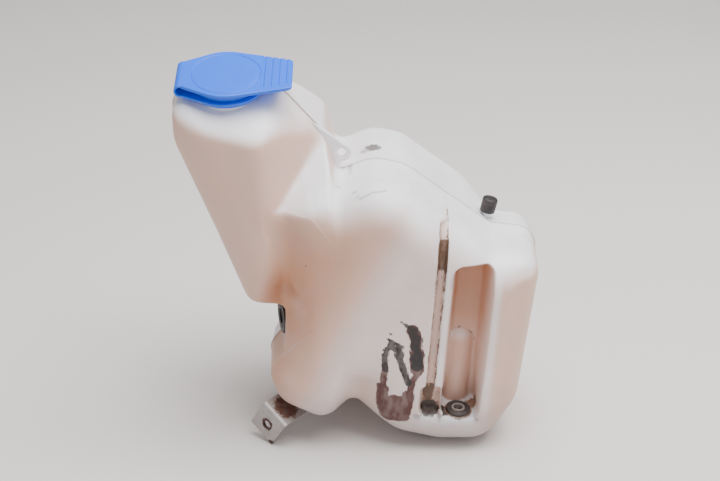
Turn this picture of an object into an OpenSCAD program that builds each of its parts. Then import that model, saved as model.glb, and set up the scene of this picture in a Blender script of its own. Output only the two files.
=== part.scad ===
// Washer fluid reservoir: blow-moulded tank with a flip-lid filler cap, grommets, vent cap and a plate bracket.
// Millimetres, +Z up, the viewer looks along +Y, +X to the right. The mould seam lies in the plane y = 0.

/* [Tank shell] */
// half of the overall width, from the tower's left wall to the body's right wall
half_w = 132.5; // [120:0.5:150]
// depth of the body in front of the seam
front_d = 68; // [60:1:75]
// depth of the body behind the seam
back_d = 74; // [60:1:80]
// depth of the tower behind the seam
tower_back_d = 29; // [27:1:42]
// depth of the right shoulder behind the seam
shoulder_back_d = 30; // [27:1:36]
// rounding between side walls and front face
front_r = 28; // [18:1:36]
// rounding between side walls and back face
back_r = 15; // [12:1:30]
// how far the walls draw in between seam and rounding
draft = 1.5; // [0.5:0.1:3]
// wall thickness of the moulding
wall = 2.6; // [1.8:0.1:3.5]

/* [Tower outline] */
// height of the tower's flat top
tower_top = 263; // [245:1:285]
// height where the tower's left wall bends inward
tower_bend = 237; // [215:1:245]
// left end of the tower's foot
tower_foot_x = -83; // [-95:1:-72]
// height of the tower's foot
tower_foot_z = 114; // [105:1:122]
// right wall of the tower, above the body
tower_right = -24; // [-32:1:-20]
// height where the tower's right wall leans over to the top
tower_lean_z = 233; // [222:1:242]
// right end of the tower's flat top
tower_top_x = -50; // [-62:1:-42]

/* [Body outline] */
// inner corner between tower and body
corner_x = -15; // [-24:1:-12]
// height of that inner corner
corner_z = 203; // [190:1:210]
// highest point of the body
body_top = 214; // [206:1:226]
// where the body's top starts to fall to the right
crest_x = 34; // [20:1:48]
// where the fall meets the right shoulder
shoulder_x = 98; // [84:1:108]
// height of the right shoulder
shoulder_z = 161; // [148:1:172]
// how far the right wall has moved in at its foot
right_lean = 11; // [4:1:20]
// height where the right wall rounds to the bottom
right_foot_z = 38; // [28:1:50]
// right end of the bottom
bottom_x2 = 100; // [86:1:108]
// left end of the bottom
bottom_x1 = 28; // [18:1:40]
// rise of the bottom's left end
bottom_rise = 8; // [3:1:14]
// notch between the two feet
notch_x = -4; // [-10:1:4]
// height of the notch
notch_z = 32; // [24:1:40]
// lowest corner of the left foot
lobe_x = -24; // [-32:1:-16]
// height of that corner
lobe_z = 16; // [10:1:22]
// left side of the left foot
lobe_left = -69; // [-80:1:-64]
// height where the left foot is widest
lobe_mid_z = 55; // [48:1:62]
// left wall that carries the sensor grommet
seat_x = -56; // [-58:1:-48]

/* [Tower front] */
// depth of the tower's front ridge
tower_d = 50; // [38:1:56]
// ridge position at the tower's top
ridge_x = -68; // [-78:1:-60]
// how far the ridge wanders right on its way down
ridge_drift = 6; // [0:1:14]
// depth of the sloping top face where it meets the neck platform
brow_d = 24; // [16:1:34]
// height of the ledge beside the tower
ledge_z = 191; // [180:1:200]
// fold line of the left chamfer: x at the body's top
fold_x = 28; // [18:1:40]
// drop of the chamfer for each millimetre left of the fold
fold_slope = 0.3; // [0.15:0.01:0.4]
// depth of the soft valley below the ledge
valley_d = 6; // [2:0.5:9]
// depth of the valley above the notch
notch_valley_d = 12; // [5:1:16]
// depth of the flute down the right side
flute_d = 4; // [1:0.5:7]

/* [Pump recess] */
// middle of the recess's top edge
recess_x = 83; // [74:1:86]
// height of the recess's top edge
recess_top = 155; // [145:1:165]
// width of the recess
recess_w = 27; // [26:0.5:34]
// depth of the recess behind the front face
recess_d = 30; // [22:1:36]
// height of the ledge at its foot
recess_foot = 31; // [26:1:38]
// lean of the recess and the hose groove
lean = 3.7; // [2:0.1:7]
// radius of the cradle in the recess's lower half
cradle_r = 11; // [9:0.5:13]
// how far the cradle stands off the recess's back
cradle_rise = 7; // [5:0.5:9]
// length of the cradle
cradle_h = 50; // [38:1:62]

/* [Hose groove] */
// distance of the groove from the recess's middle line
groove_off = 23.5; // [22:0.5:30]
// radius of the groove
groove_r = 3.2; // [2.2:0.1:4]
// width of the pocket at the groove's foot
pocket_w = 17; // [14:0.5:20]
// height of that pocket
pocket_h = 26; // [20:1:34]
// depth of that pocket
pocket_d = 12; // [8:0.5:18]

/* [Ear] */
// thickness of the ear in the seam
ear_t = 4; // [3:0.25:6]
// outer radius of the eyelet
ear_r = 7; // [6:0.25:9]
// hole radius of the eyelet
ear_hole_r = 3.3; // [2.5:0.1:4]
// eyelet to the right of the tower's wall
ear_off = 12; // [8:0.5:12]
// height of the eyelet
ear_z = 218; // [214:0.5:224]

/* [Neck and cap] */
// neck axis
neck_x = -93; // [-97:0.5:-89]
// tilt of the neck toward the viewer, in degrees
neck_tilt = 13; // [6:1:18]
// outer radius of the neck
neck_r = 22; // [19:0.25:23]
// height of the neck above the tower's top
neck_h = 13; // [11:0.5:18]
// wall of the neck
neck_wall = 2.4; // [1.8:0.1:3]
// outer radius of the collar
collar_r = 25.5; // [24.5:0.25:26.5]
// height of the collar
collar_h = 9; // [7:0.5:10]
// radius of the collar's rim
rim_r = 27.5; // [27:0.25:29]
// thickness of the collar's rim
rim_t = 2; // [1.4:0.1:2.6]
// radius of the lid's disc
lid_r = 28.5; // [26:0.5:31]
// thickness of the lid
lid_t = 5; // [3.5:0.25:6.5]
// width of the thumb tab
tab_w = 37; // [30:1:42]
// reach of the thumb tab from the neck axis
tab_reach = 47; // [42:0.5:52]
// width of a groove in the tab
tab_groove = 1.6; // [1:0.1:2]
// radius of the ring line on the lid
ring_r = 24.5; // [20:0.5:25]
// width and depth of the ring line
ring_line = 0.8; // [0.5:0.1:1.2]
// length of the plug below the lid
plug_h = 9; // [6:0.5:12]
// width of the hinge strap
strap_w = 32; // [26:1:36]
// thickness of the hinge strap
strap_t = 1.4; // [1:0.1:2]
// hinge line to the left of the neck axis
hinge_reach = 36; // [35:0.25:37]

/* [Sensor grommet] */
// height of the sensor grommet
sensor_z = 88; // [85:0.5:91]
// turn of its axis toward the viewer, in degrees
sensor_turn = 14; // [8:1:18]
// outer radius
sensor_r = 13.5; // [12:0.25:14]
// flange thickness
sensor_flange = 4; // [3:0.25:5]
// radius in the tank's hole
sensor_neck_r = 9.5; // [8.5:0.25:10.5]
// radius of its bore
sensor_bore_r = 6; // [5:0.1:7]

/* [Pump grommet] */
// outer radius
pump_r = 10; // [9:0.25:11]
// flange thickness
pump_flange = 3; // [2:0.25:4]
// radius in the tank's hole
pump_neck_r = 7; // [6.25:0.25:8]
// radius of its bore
pump_bore_r = 3.5; // [3:0.1:4.5]

/* [Vent cap] */
// vent position along x
vent_x = 95.5; // [94:0.5:102]
// vent behind the seam
vent_y = 8; // [6:0.5:14]
// lean of the vent to the right, in degrees
vent_lean = 12; // [6:1:16]
// outer radius of the cap
vent_r = 5.75; // [5.25:0.25:7]
// height of the cap
vent_h = 11; // [9.5:0.5:14]
// radius of the moulded spigot
spigot_r = 3.5; // [3:0.1:4]
// bore of the spigot
spigot_bore_r = 1.8; // [1.2:0.1:2.2]

/* [Bracket] */
// plate thickness
plate_t = 2; // [1.5:0.1:3]
// plate width
plate_w = 24; // [20:0.5:28]
// length of the leg under the tank
leg_l = 42; // [38:1:48]
// length of the flap
flap_l = 25; // [20:0.5:30]
// radius of the bolt hole
bolt_r = 3.4; // [2.6:0.1:4.2]
// inner bend radius
bend_r = 2.5; // [1.5:0.25:4]
// bracket screw from the bend
screw_off = 28; // [26:0.5:30]
// shank radius of the bracket screw
screw_r = 2.5; // [2:0.1:3]
// head radius of the bracket screw
screw_head_r = 5.5; // [5:0.25:6.5]

/* [Fits] */
// clearance of parts that sit in one another
fit = 0.05; // [0.02:0.01:0.1]
// clearance of the lid's plug in the neck
plug_fit = 0.3; // [0.2:0.05:0.5]

/* [Hidden] */
$fn = 64;
// spacing of the outline's points, steps in a rounded corner, rows from the edge to the middle
gap = 15;
arc = 3;
spread = [0, 0.012, 0.045, 0.1, 0.18, 0.3, 0.46, 0.64, 0.82];
// the right wall's corner before it is rounded, past the widest point
right_bulge = 1.9;
// the point from which every part of the outline can be seen
hub = [-14, 127];
// height where the sensor wall starts and ends
seat_top = sensor_z + 13;
seat_foot = sensor_z - 15;
// outline of the seam as [x, z, corner radius], counter-clockwise seen by the viewer
seam = [
  [-half_w, tower_top, 12], [-half_w, tower_bend, 40], [tower_foot_x, tower_foot_z, 14],
  [seat_x, seat_top, 4], [seat_x, seat_foot, 6], [lobe_left, lobe_mid_z, 14],
  [lobe_left + 8, lobe_mid_z - 22, 20], [lobe_x, lobe_z, 20], [notch_x, notch_z, 7],
  [bottom_x1, bottom_rise, 26], [bottom_x1 + 32, 0, 40], [bottom_x2, 0, 30],
  [half_w - right_lean, right_foot_z, 34], [half_w + right_bulge, shoulder_z - 4, 22],
  [shoulder_x, shoulder_z, 14], [crest_x, body_top - 5, 30], [crest_x - 24, body_top, 30],
  [corner_x, corner_z, 6], [tower_right, tower_lean_z, 12], [tower_top_x, tower_top, 18]
];
// slope of the ledge's edge and of the tower's faces
ledge_rise = 0.6;
ridge_left = 0.25;
ridge_right = 1.2;
brow_slope = 1.1;
ledge_slope = 1.8;
lean_fold = 26.5;
ear_x = tower_right + ear_off;
neck_at = [neck_x, -3, tower_top];
neck_bore_r = neck_r - neck_wall;
lid_z = neck_h + 1;
plug_r = neck_bore_r - plug_fit;
plug_taper = 1.3;
plug_wall = 2;
rim_z = neck_h - 4;
hinge_z = (rim_z + lid_z + lid_t) / 2;
hinge_gap = 0.1;
recess_len = recess_top - recess_foot;
recess_back = recess_d - front_d;
// the pump's grommet sits clear of the cradle
pump_off = cradle_rise + pump_r + 0.5;
groove_l = recess_len - pocket_h + 18;
groove_bend = 50;
groove_top = 44;
vent_at = [vent_x, vent_y, shoulder_z];
// lip behind the wall on the rubber rings
lip = 1.5;
lip_h = 4;
lip_gap = 0.3;
vent_lift = 5.5;
spigot_h = 6;
sensor_at = [seat_x + 1.2, -12, sensor_z];
bracket_at = [-63.5, -58, 27.8];
bracket_yaw = -128.5;
bracket_roll = -32;
boss_r = screw_r + 4;
boss_h = 14;
screw_l = 12;
big = 60;
// the seam is moved so that the part stands over the middle of its depth
seam_y = (front_d - back_d) / 2;

// plane geometry of the outline
function unit(v) = v / norm(v);
function xy(v) = [v[0], v[1]];
function turn(v) = [v[1], -v[0]];
function corner(p, q, s, n) =
  let (a = unit(xy(p) - xy(q)), b = unit(xy(s) - xy(q)), half = acos(a * b) / 2,
       room = 0.48 * min(norm(xy(p) - xy(q)), norm(xy(s) - xy(q))),
       r = min(q[2], room * tan(half)), mid = xy(q) + unit(a + b) * r / sin(half),
       u = unit(xy(q) + a * r / tan(half) - mid), w = unit(xy(q) + b * r / tan(half) - mid),
       sweep = acos(max(-1, min(1, u * w))), side = sign(u[0] * w[1] - u[1] * w[0]))
  [for (k = [0 : n]) let (t = side * sweep * k / n)
    mid + r * [u[0] * cos(t) - u[1] * sin(t), u[0] * sin(t) + u[1] * cos(t)]];
function rounded(path, n) = let (m = len(path))
  [for (i = [0 : m - 1]) each corner(path[(i + m - 1) % m], path[i], path[(i + 1) % m], n)];
function spaced(path, gap) = let (m = len(path))
  [for (i = [0 : m - 1]) let (p = path[i], q = path[(i + 1) % m], parts = max(1, floor(norm(q - p) / gap)))
    for (k = [0 : parts - 1]) p + (q - p) * k / parts];
function normals(path) = let (m = len(path))
  [for (i = [0 : m - 1]) unit(turn(unit(path[(i + 1) % m] - path[i]) + unit(path[i] - path[(i + m - 1) % m])))];

// smooth blends
function ease(t) = let (u = max(0, min(1, t))) u * u * (3 - 2 * u);
function soft_min(a, b, k) = let (h = max(k - abs(a - b), 0) / k) min(a, b) - h * h * k / 4;
function soft_max(a, b, k) = -soft_min(-a, -b, k);
function to_line(p, a, b) = let (t = max(0, min(1, (p - a) * (b - a) / ((b - a) * (b - a))))) norm(p - a - t * (b - a));
function dip(p, a, b, w, d) = d * exp(-pow(to_line(p, a, b) / w, 2));

// depth of the front and the back of the tank over the seam plane
function ridge_at(z) = ridge_x + ridge_drift * ease((tower_top - z) / (tower_top - tower_foot_z));
function tower_front(p) = let (e = p[0] - ridge_at(p[1]))
  soft_min(soft_min(tower_d + ridge_left * e, tower_d - ridge_right * e, 8),
           brow_d + brow_slope * (tower_top - p[1]), 8);
function fold(p) = (p[0] - fold_x) * cos(lean_fold) - (p[1] - body_top) * sin(lean_fold);
function body_front(p) = soft_min(soft_min(front_d, front_d + fold_slope * fold(p), 14),
  brow_d + ledge_slope * (ledge_z + ledge_rise * (p[0] - ridge_x) - p[1]), 10);
function front_at(p) = soft_max(tower_front(p), body_front(p), 6)
  - dip(p, [ridge_x + 18, ledge_z - 22], [seat_x + 4, seat_top + 12], 12, valley_d)
  - dip(p, [notch_x, notch_z - 10], [notch_x + 6, notch_z + 26], 13, notch_valley_d)
  - dip(p, [half_w - 14, shoulder_z - 14], [half_w - 28, right_foot_z + 10], 7, flute_d);
function back_at(p) = shoulder_back_d + (back_d - shoulder_back_d) * ease((shoulder_x + 6 - p[0]) / 26)
  - (back_d - tower_back_d) * ease((tower_right - p[0]) / 40);

// the moulded form, drawn in by a distance from its outer surface
function drawn_in(path, nrm, q) = [for (i = [0 : len(path) - 1]) path[i] - nrm[i] * q];
function depth_in(p, path) = min([for (i = [0 : len(path) - 1]) to_line(p, path[i], path[(i + 1) % len(path)])]);
function rounding(d, depth, r) = (depth - r + r * sqrt(1 - pow(1 - min(d, r) / r, 2))) / depth;
function steep(p, front) = let (h = 0.5, f = depth_at(p, front),
  gx = depth_at(p + [h, 0], front) - f, gz = depth_at(p + [0, h], front) - f)
  min(4, sqrt(1 + (gx * gx + gz * gz) / (h * h)));
function depth_at(p, front) = front ? front_at(p) : back_at(p);
function raised(p, share, off, front) =
  [p[0], (front ? -1 : 1) * share * (depth_at(p, front) - off * steep(p, front)), p[1]];
function rows(edge, depth, r, off, front) =
  [for (t = spread) [for (o = edge) let (p = o + (hub - o) * t)
    raised(p, rounding(t == 0 ? 0 : depth_in(p, edge), depth, r), off, front)]];

module form(off) {
  outline = spaced(rounded(seam, arc), gap);
  nrm = normals(outline);
  path = drawn_in(outline, nrm, off);
  edge = drawn_in(outline, nrm, off + draft);
  n = len(path);
  front = rows(edge, front_d, front_r, off, true);
  back = rows(edge, back_d, back_r, off, false);
  last = len(back) - 1;
  rings = concat([for (k = [0 : last]) back[last - k]], [[for (p = path) [p[0], 0, p[1]]]], front);
  m = len(rings);
  points = concat([for (ring = rings) each ring], [raised(hub, 1, off, false), raised(hub, 1, off, true)]);
  faces = concat(
    [for (j = [0 : m - 2], i = [0 : n - 1]) each
      [[j * n + i, (j + 1) * n + (i + 1) % n, j * n + (i + 1) % n], [j * n + i, (j + 1) * n + i, (j + 1) * n + (i + 1) % n]]],
    [for (i = [0 : n - 1]) [m * n, i, (i + 1) % n]],
    [for (i = [0 : n - 1]) [m * n + 1, (m - 1) * n + (i + 1) % n, (m - 1) * n + i]]);
  polyhedron(points = points, faces = faces, convexity = 10);
}

// places that several parts share
module placed() translate([0, seam_y, 0]) children();
module at_neck() translate(neck_at) rotate([neck_tilt, 0, 0]) children();
module at_recess() translate([recess_x, 0, recess_top]) rotate([0, lean, 0]) children();
module at_pump() at_recess() translate([0, recess_back - pump_off, -recess_len]) children();
module at_sensor() translate(sensor_at) rotate([0, 0, sensor_turn]) rotate([0, -90, 0]) children();
module at_vent() translate(vent_at) rotate([0, vent_lean, 0]) children();
module at_bracket() translate(bracket_at) rotate([0, 0, bracket_yaw]) rotate([bracket_roll, 0, 0]) children();
module at_screw() at_bracket() translate([-screw_off, 0, 0]) children();

// hollows moulded into the tank, grown for the inner surface
module plate(x, z, w, h, r, y) translate([x, y, z]) rotate([90, 0, 0]) linear_extrude(1, center = true)
  offset(r = r) square([w - 2 * r, h - 2 * r], center = true);
module recess_cut(g) at_recess() difference() {
  hull() {
    plate(0, -recess_len / 2, recess_w + 2 * g + 4, recess_len + 2 * g + 2, 6, -front_d - 8);
    plate(0, -recess_len / 2, recess_w + 2 * g - 4, recess_len + 2 * g, 4, recess_back + g - 0.5);
  }
  translate([-3, recess_back + cradle_r - cradle_rise + g, -recess_len - g - 1]) {
    cylinder(h = cradle_h, r = cradle_r);
    translate([0, 0, cradle_h]) sphere(r = cradle_r);
  }
}
module pocket_cut(g) at_recess() hull() {
  plate(-groove_off + 2, -recess_len + pocket_h / 2, pocket_w + 2 * g, pocket_h + 2 * g, 5, -front_d - 8);
  plate(-groove_off + 2, -recess_len + pocket_h / 2, pocket_w + 2 * g - 4, pocket_h + 2 * g - 2, 4, pocket_d - front_d + g - 0.5);
}
module groove_cut(g) at_recess() translate([-groove_off, groove_r - 1 - front_d, -recess_len + pocket_h - 2]) {
  cylinder(h = groove_l, r = groove_r + g);
  translate([0, 0, groove_l - 3]) rotate([-groove_bend, 0, 0]) cylinder(h = groove_top, r = groove_r + g);
}
module sensor_cut(g) at_sensor() translate([0, 0, -g]) cylinder(h = 30, r = sensor_r + 1 + g);
module bracket_cut(g) at_bracket() translate([-leg_l - g, -plate_w / 2 - 1 - g, -big])
  cube([leg_l + 30 + g, plate_w + 2 + 2 * g, big + g]);
module hollows(g) {
  recess_cut(g);
  pocket_cut(g);
  groove_cut(g);
  sensor_cut(g);
  bracket_cut(g);
}

module seal_hole(r) {
  translate([0, 0, -wall - lip_h]) cylinder(h = wall + lip_h + 4, r = r + fit);
  translate([0, 0, -wall - lip_h - 4]) cylinder(h = lip_h + 4, r = r + lip + lip_gap);
}

module ear() rotate([90, 0, 0]) linear_extrude(ear_t, center = true) {
  translate([ear_x, ear_z]) circle(r = ear_r);
  polygon([
    [ear_x + 2, ear_z + ear_r - 0.4], [tower_right - 10, tower_lean_z + 10], [tower_right - 2, tower_lean_z - 1],
    [corner_x - 3, corner_z + 1], [corner_x + 1, corner_z - 2], [ear_x, ear_z - ear_r]
  ]);
}

module tank() color([0.86, 0.85, 0.83]) difference() {
  union() {
    difference() {
      form(0);
      hollows(0);
      difference() {
        form(wall);
        hollows(wall);
        at_screw() cylinder(h = boss_h, r = boss_r);
      }
    }
    at_neck() translate([0, 0, -6]) cylinder(h = neck_h + 6, r = neck_r);
    at_vent() translate([0, 0, -5]) cylinder(h = vent_lift + spigot_h + 5, r = spigot_r);
    ear();
  }
  at_neck() translate([0, 0, -20]) cylinder(h = neck_h + 30, r = neck_bore_r);
  at_vent() translate([0, 0, -14]) cylinder(h = vent_h + 20, r = spigot_bore_r);
  at_pump() seal_hole(pump_neck_r);
  at_sensor() seal_hole(sensor_neck_r);
  at_screw() translate([0, 0, -1]) cylinder(h = screw_l, r = screw_r);
  translate([ear_x, 0, ear_z]) rotate([90, 0, 0]) cylinder(h = 20, r = ear_hole_r, center = true);
}

// filler cap: collar on the neck and lid with plug and thumb tab, joined by a strap that is thin on the hinge line
module strap_side(z0, z1) translate([-hinge_reach, -strap_w / 2, z0]) cube([strap_t, strap_w, z1 - z0]);
module cap_collar() color([0.2, 0.45, 0.85]) at_neck() difference() {
  union() {
    translate([0, 0, rim_z + rim_t - collar_h]) cylinder(h = collar_h, r = collar_r);
    translate([0, 0, rim_z]) cylinder(h = rim_t, r = rim_r);
    translate([-hinge_reach, -strap_w / 2, rim_z]) cube([hinge_reach - neck_r + 6, strap_w, strap_t]);
    strap_side(rim_z, hinge_z - hinge_gap / 2);
  }
  cylinder(h = big, r = neck_r + fit, center = true);
}
module cap_lid() color([0.25, 0.55, 0.95]) at_neck() {
  difference() {
    translate([0, 0, lid_z]) linear_extrude(lid_t) hull() {
      circle(r = lid_r);
      translate([tab_reach - 4, 0]) offset(r = 3) square([2, tab_w - 6], center = true);
      translate([-hinge_reach + 5, 0]) square([10, strap_w], center = true);
    }
    translate([0, 0, lid_z + lid_t]) rotate_extrude() translate([ring_r, 0]) square(2 * ring_line, center = true);
    for (k = [0 : 3]) translate([tab_reach - 5 - 4 * k, 0, lid_z + lid_t])
      cube([tab_groove, tab_w + 30, 2], center = true);
  }
  translate([0, 0, lid_z - plug_h]) difference() {
    cylinder(h = plug_h + 1, r1 = plug_r - plug_taper, r2 = plug_r);
    translate([0, 0, -1]) cylinder(h = plug_h + 1, r = plug_r - plug_taper - plug_wall);
  }
  strap_side(hinge_z + hinge_gap / 2, lid_z + 1);
}

// rubber parts
module ring_seal(r, neck, bore, flange) rotate_extrude() polygon([
  [bore, flange], [r - 1, flange], [r, flange - 1], [r, 0], [neck, 0], [neck, -wall], [neck + lip, -wall],
  [neck + lip, -wall - lip], [neck, -wall - lip_h], [bore, -wall - lip_h]
]);
module sensor_grommet() color([0.15, 0.13, 0.13]) at_sensor()
  ring_seal(sensor_r, sensor_neck_r, sensor_bore_r, sensor_flange);
module pump_grommet() color([0.3, 0.28, 0.26]) at_pump()
  ring_seal(pump_r, pump_neck_r, pump_bore_r, pump_flange);
module vent_cap() color([0.12, 0.11, 0.12]) at_vent() translate([0, 0, vent_lift]) rotate_extrude() polygon([
  [0, vent_h], [vent_r - 1.5, vent_h], [vent_r, vent_h - 1.5], [vent_r, 0], [spigot_r + fit, 0],
  [spigot_r + fit, spigot_h], [0, spigot_h]
]);

// pressed plate bracket and its screw
module bracket() color([0.62, 0.6, 0.58]) at_bracket() difference() {
  rotate([90, 0, 0]) linear_extrude(plate_w, center = true) {
    translate([-leg_l + 0.5, -plate_t]) square([leg_l - 0.5 - plate_t - bend_r, plate_t]);
    translate([-plate_t, -flap_l]) square([plate_t, flap_l - plate_t - bend_r]);
    translate([-plate_t - bend_r, -plate_t - bend_r]) intersection() {
      difference() {
        circle(r = plate_t + bend_r);
        circle(r = bend_r);
      }
      square(plate_t + bend_r);
    }
  }
  translate([0, 0, -flap_l / 2 - 1]) rotate([0, 90, 0]) cylinder(h = 20, r = bolt_r, center = true);
  translate([-screw_off, 0, 0]) cylinder(h = 20, r = screw_r + 0.5, center = true);
}
module bracket_screw() color([0.5, 0.48, 0.46]) at_screw() {
  translate([0, 0, -plate_t - 4]) cylinder(h = 4, r = screw_head_r);
  translate([0, 0, -plate_t - 1]) cylinder(h = screw_l - 2 + plate_t, r = screw_r);
}

placed() tank();
placed() cap_collar();
placed() cap_lid();
placed() sensor_grommet();
placed() pump_grommet();
placed() vent_cap();
placed() bracket();
placed() bracket_screw();
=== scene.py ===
import bpy
import numpy as np
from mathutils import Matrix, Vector


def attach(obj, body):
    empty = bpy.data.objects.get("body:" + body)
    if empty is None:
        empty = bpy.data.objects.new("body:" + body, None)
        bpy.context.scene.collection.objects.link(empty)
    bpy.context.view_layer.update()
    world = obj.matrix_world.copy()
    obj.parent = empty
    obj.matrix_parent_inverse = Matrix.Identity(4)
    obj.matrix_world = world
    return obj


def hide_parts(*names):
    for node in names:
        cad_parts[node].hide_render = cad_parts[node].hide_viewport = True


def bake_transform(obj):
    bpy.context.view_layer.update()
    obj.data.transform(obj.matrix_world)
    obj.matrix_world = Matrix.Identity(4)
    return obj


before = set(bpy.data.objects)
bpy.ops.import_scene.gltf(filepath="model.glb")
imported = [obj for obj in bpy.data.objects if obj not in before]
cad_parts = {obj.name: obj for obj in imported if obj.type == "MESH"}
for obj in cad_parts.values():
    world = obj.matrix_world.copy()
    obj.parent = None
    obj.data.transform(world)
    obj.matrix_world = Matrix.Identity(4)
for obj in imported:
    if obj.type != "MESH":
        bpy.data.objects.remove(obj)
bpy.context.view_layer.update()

# Studio: a pale matt floor, one large soft light overhead and weaker ones from the front and the right.
# The camera stands in front of the tank and looks down on it at the photograph's angle.
MM = 0.001
view_target = Vector((1.5, -3.0, 145.6)) * MM
view_distance = 1125 * MM
view_tilt = np.radians(27)
camera_data = bpy.data.cameras.new("camera")
camera_data.lens = 75
camera_data.sensor_width = 36
camera = bpy.data.objects.new("camera", camera_data)
camera.location = view_target + view_distance * Vector((0, -np.cos(view_tilt), np.sin(view_tilt)))
camera.rotation_euler = (view_target - camera.location).to_track_quat("-Z", "Y").to_euler()
bpy.context.scene.collection.objects.link(camera)
bpy.context.scene.camera = camera


def soft_light(name, place, target, size, watts, tint):
    """A square area light at one point, turned to another."""
    data = bpy.data.lights.new(name, "AREA")
    data.size, data.energy, data.color = size, watts, tint
    light = bpy.data.objects.new(name, data)
    light.location = place
    light.rotation_euler = (Vector(target) - Vector(place)).to_track_quat("-Z", "Y").to_euler()
    bpy.context.scene.collection.objects.link(light)


soft_light("overhead", (0.3, -0.1, 1.5), (0, 0, 0.1), 1.2, 47, (1, 0.99, 0.98))
soft_light("front_fill", (-0.4, -1.9, 0.9), (0, 0, 0.15), 1.2, 3.5, (1, 0.96, 0.94))
soft_light("right_fill", (1.5, -0.6, 0.9), (0, 0, 0.15), 1.0, 3, (1, 0.97, 0.95))
world = bpy.data.worlds.new("studio")
world.use_nodes = True
world.node_tree.nodes["Background"].inputs["Color"].default_value = (0.95, 0.96, 1.0, 1)
world.node_tree.nodes["Background"].inputs["Strength"].default_value = 0.42
bpy.context.scene.world = world


def put(tree, kind, sockets=None, **settings):
    """A node in a tree: settings are its own properties, sockets its inputs, each a value or an output."""
    made = tree.nodes.new(kind)
    for name, value in settings.items():
        setattr(made, name, value)
    for name, value in (sockets or {}).items():
        if isinstance(value, bpy.types.NodeSocket):
            tree.links.new(value, made.inputs[name])
        else:
            made.inputs[name].default_value = value
    return made


def fresh_material(name):
    """A new material with its node tree and its Principled shader."""
    material = bpy.data.materials.new(name)
    material.use_nodes = True
    tree = material.node_tree
    return material, tree, tree.nodes["Principled BSDF"]


def linear(red, green, blue):
    """A colour of 0 to 255 screen values as linear light."""
    screen = np.array([red, green, blue]) / 255
    return (*np.where(screen < 0.04045, screen / 12.92, ((screen + 0.055) / 1.055) ** 2.4), 1)


floor_half = 4.0
floor_corners = [(x * floor_half, y * floor_half, 0) for x, y in ((-1, -1), (1, -1), (1, 1), (-1, 1))]
floor_mesh = bpy.data.meshes.new("floor")
floor_mesh.from_pydata(floor_corners, [], [(0, 1, 2, 3)])
floor = bpy.data.objects.new("floor", floor_mesh)
bpy.context.scene.collection.objects.link(floor)
floor_material, _, floor_shader = fresh_material("pale_floor")
floor_shader.inputs["Base Color"].default_value = linear(226, 222, 219)
floor_shader.inputs["Roughness"].default_value = 0.75
floor_mesh.materials.append(floor_material)

# Tank: one shell blow-moulded in natural polyethylene and parted in the plane of its seam.
# Its front and back are heights over that plane, rounded towards the outline, with the hollows for
# the pump and the hose pressed into the front. A thin bead marks the seam.
seam_y = -3.0
half_w = 132.5
front_d, back_d, tower_back_d, shoulder_back_d = 68.0, 74.0, 29.0, 30.0
front_r, back_r, draft, wall, bead_out = 28.0, 15.0, 1.5, 2.6, 0.5
tower_top, deck_z, tower_foot_z, tower_right = 267.5, 263.0, 114.0, -24.0
body_top, shoulder_x, shoulder_z = 214.0, 98.0, 161.0
fold_x, fold_lean = 28.0, np.radians(26.5)
notch_x, notch_z, seat_x, sensor_z = -4.0, 32.0, -56.0, 88.0
hub = np.array([-14.0, 127.0])
seam_corners = np.array([
    [-half_w, tower_top, 12], [-half_w, 237, 40], [-83, tower_foot_z, 14], [seat_x, sensor_z + 13, 4],
    [seat_x, sensor_z - 15, 6], [-69, 55, 14], [-61, 33, 20], [-24, 16, 20], [notch_x, notch_z, 7],
    [28, 8, 26], [60, 0, 40], [100, 0, 30], [half_w - 11, 38, 34], [half_w + 1.9, shoulder_z - 4, 22],
    [shoulder_x, shoulder_z, 14], [34, body_top - 5, 30], [10, body_top, 30], [-15, 203, 6],
    [tower_right, 233, 12], [-54, tower_top, 16]])
neck_tilt = np.radians(13)


def unit(v):
    """Each vector divided by its length."""
    return v / np.linalg.norm(v, axis=-1, keepdims=True)


def ease(t):
    """A smooth step from 0 to 1: 3t^2 - 2t^3."""
    t = np.clip(t, 0, 1)
    return t * t * (3 - 2 * t)


def soft_min(a, b, k):
    """The smaller of two values, with the change from one to the other rounded over k."""
    h = np.maximum(k - np.abs(a - b), 0) / k
    return np.minimum(a, b) - h * h * k / 4


def soft_max(a, b, k):
    """The larger of two values, rounded in the same way."""
    return -soft_min(-a, -b, k)


def off_line(x, z, a, b):
    """Distance of points from the straight line between a and b."""
    dx, dz = b[0] - a[0], b[1] - a[1]
    t = np.clip(((x - a[0]) * dx + (z - a[1]) * dz) / (dx * dx + dz * dz), 0, 1)
    return np.hypot(x - a[0] - t * dx, z - a[1] - t * dz)


def rounded_outline(corners, steps):
    """A closed path of [x, z, radius] corners, each replaced by an arc between its two tangent points."""
    q = corners[:, :2]
    to_p, to_s = np.roll(q, 1, 0) - q, np.roll(q, -1, 0) - q
    a, b = unit(to_p), unit(to_s)
    half = np.arccos((a * b).sum(1)) / 2
    room = 0.48 * np.minimum(np.linalg.norm(to_p, axis=1), np.linalg.norm(to_s, axis=1))
    r = np.minimum(corners[:, 2], room * np.tan(half))[:, None]
    middle = q + unit(a + b) * r / np.sin(half)[:, None]
    u = unit(q + a * r / np.tan(half)[:, None] - middle)
    w = unit(q + b * r / np.tan(half)[:, None] - middle)
    sweep = np.arccos(np.clip((u * w).sum(1), -1, 1)) * np.sign(u[:, 0] * w[:, 1] - u[:, 1] * w[:, 0])
    t = sweep[:, None] * np.linspace(0, 1, steps + 1)
    c, s = np.cos(t), np.sin(t)
    arc = np.stack([u[:, :1] * c - u[:, 1:] * s, u[:, :1] * s + u[:, 1:] * c], -1)
    return (middle[:, None] + r[:, None] * arc).reshape(-1, 2)


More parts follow.
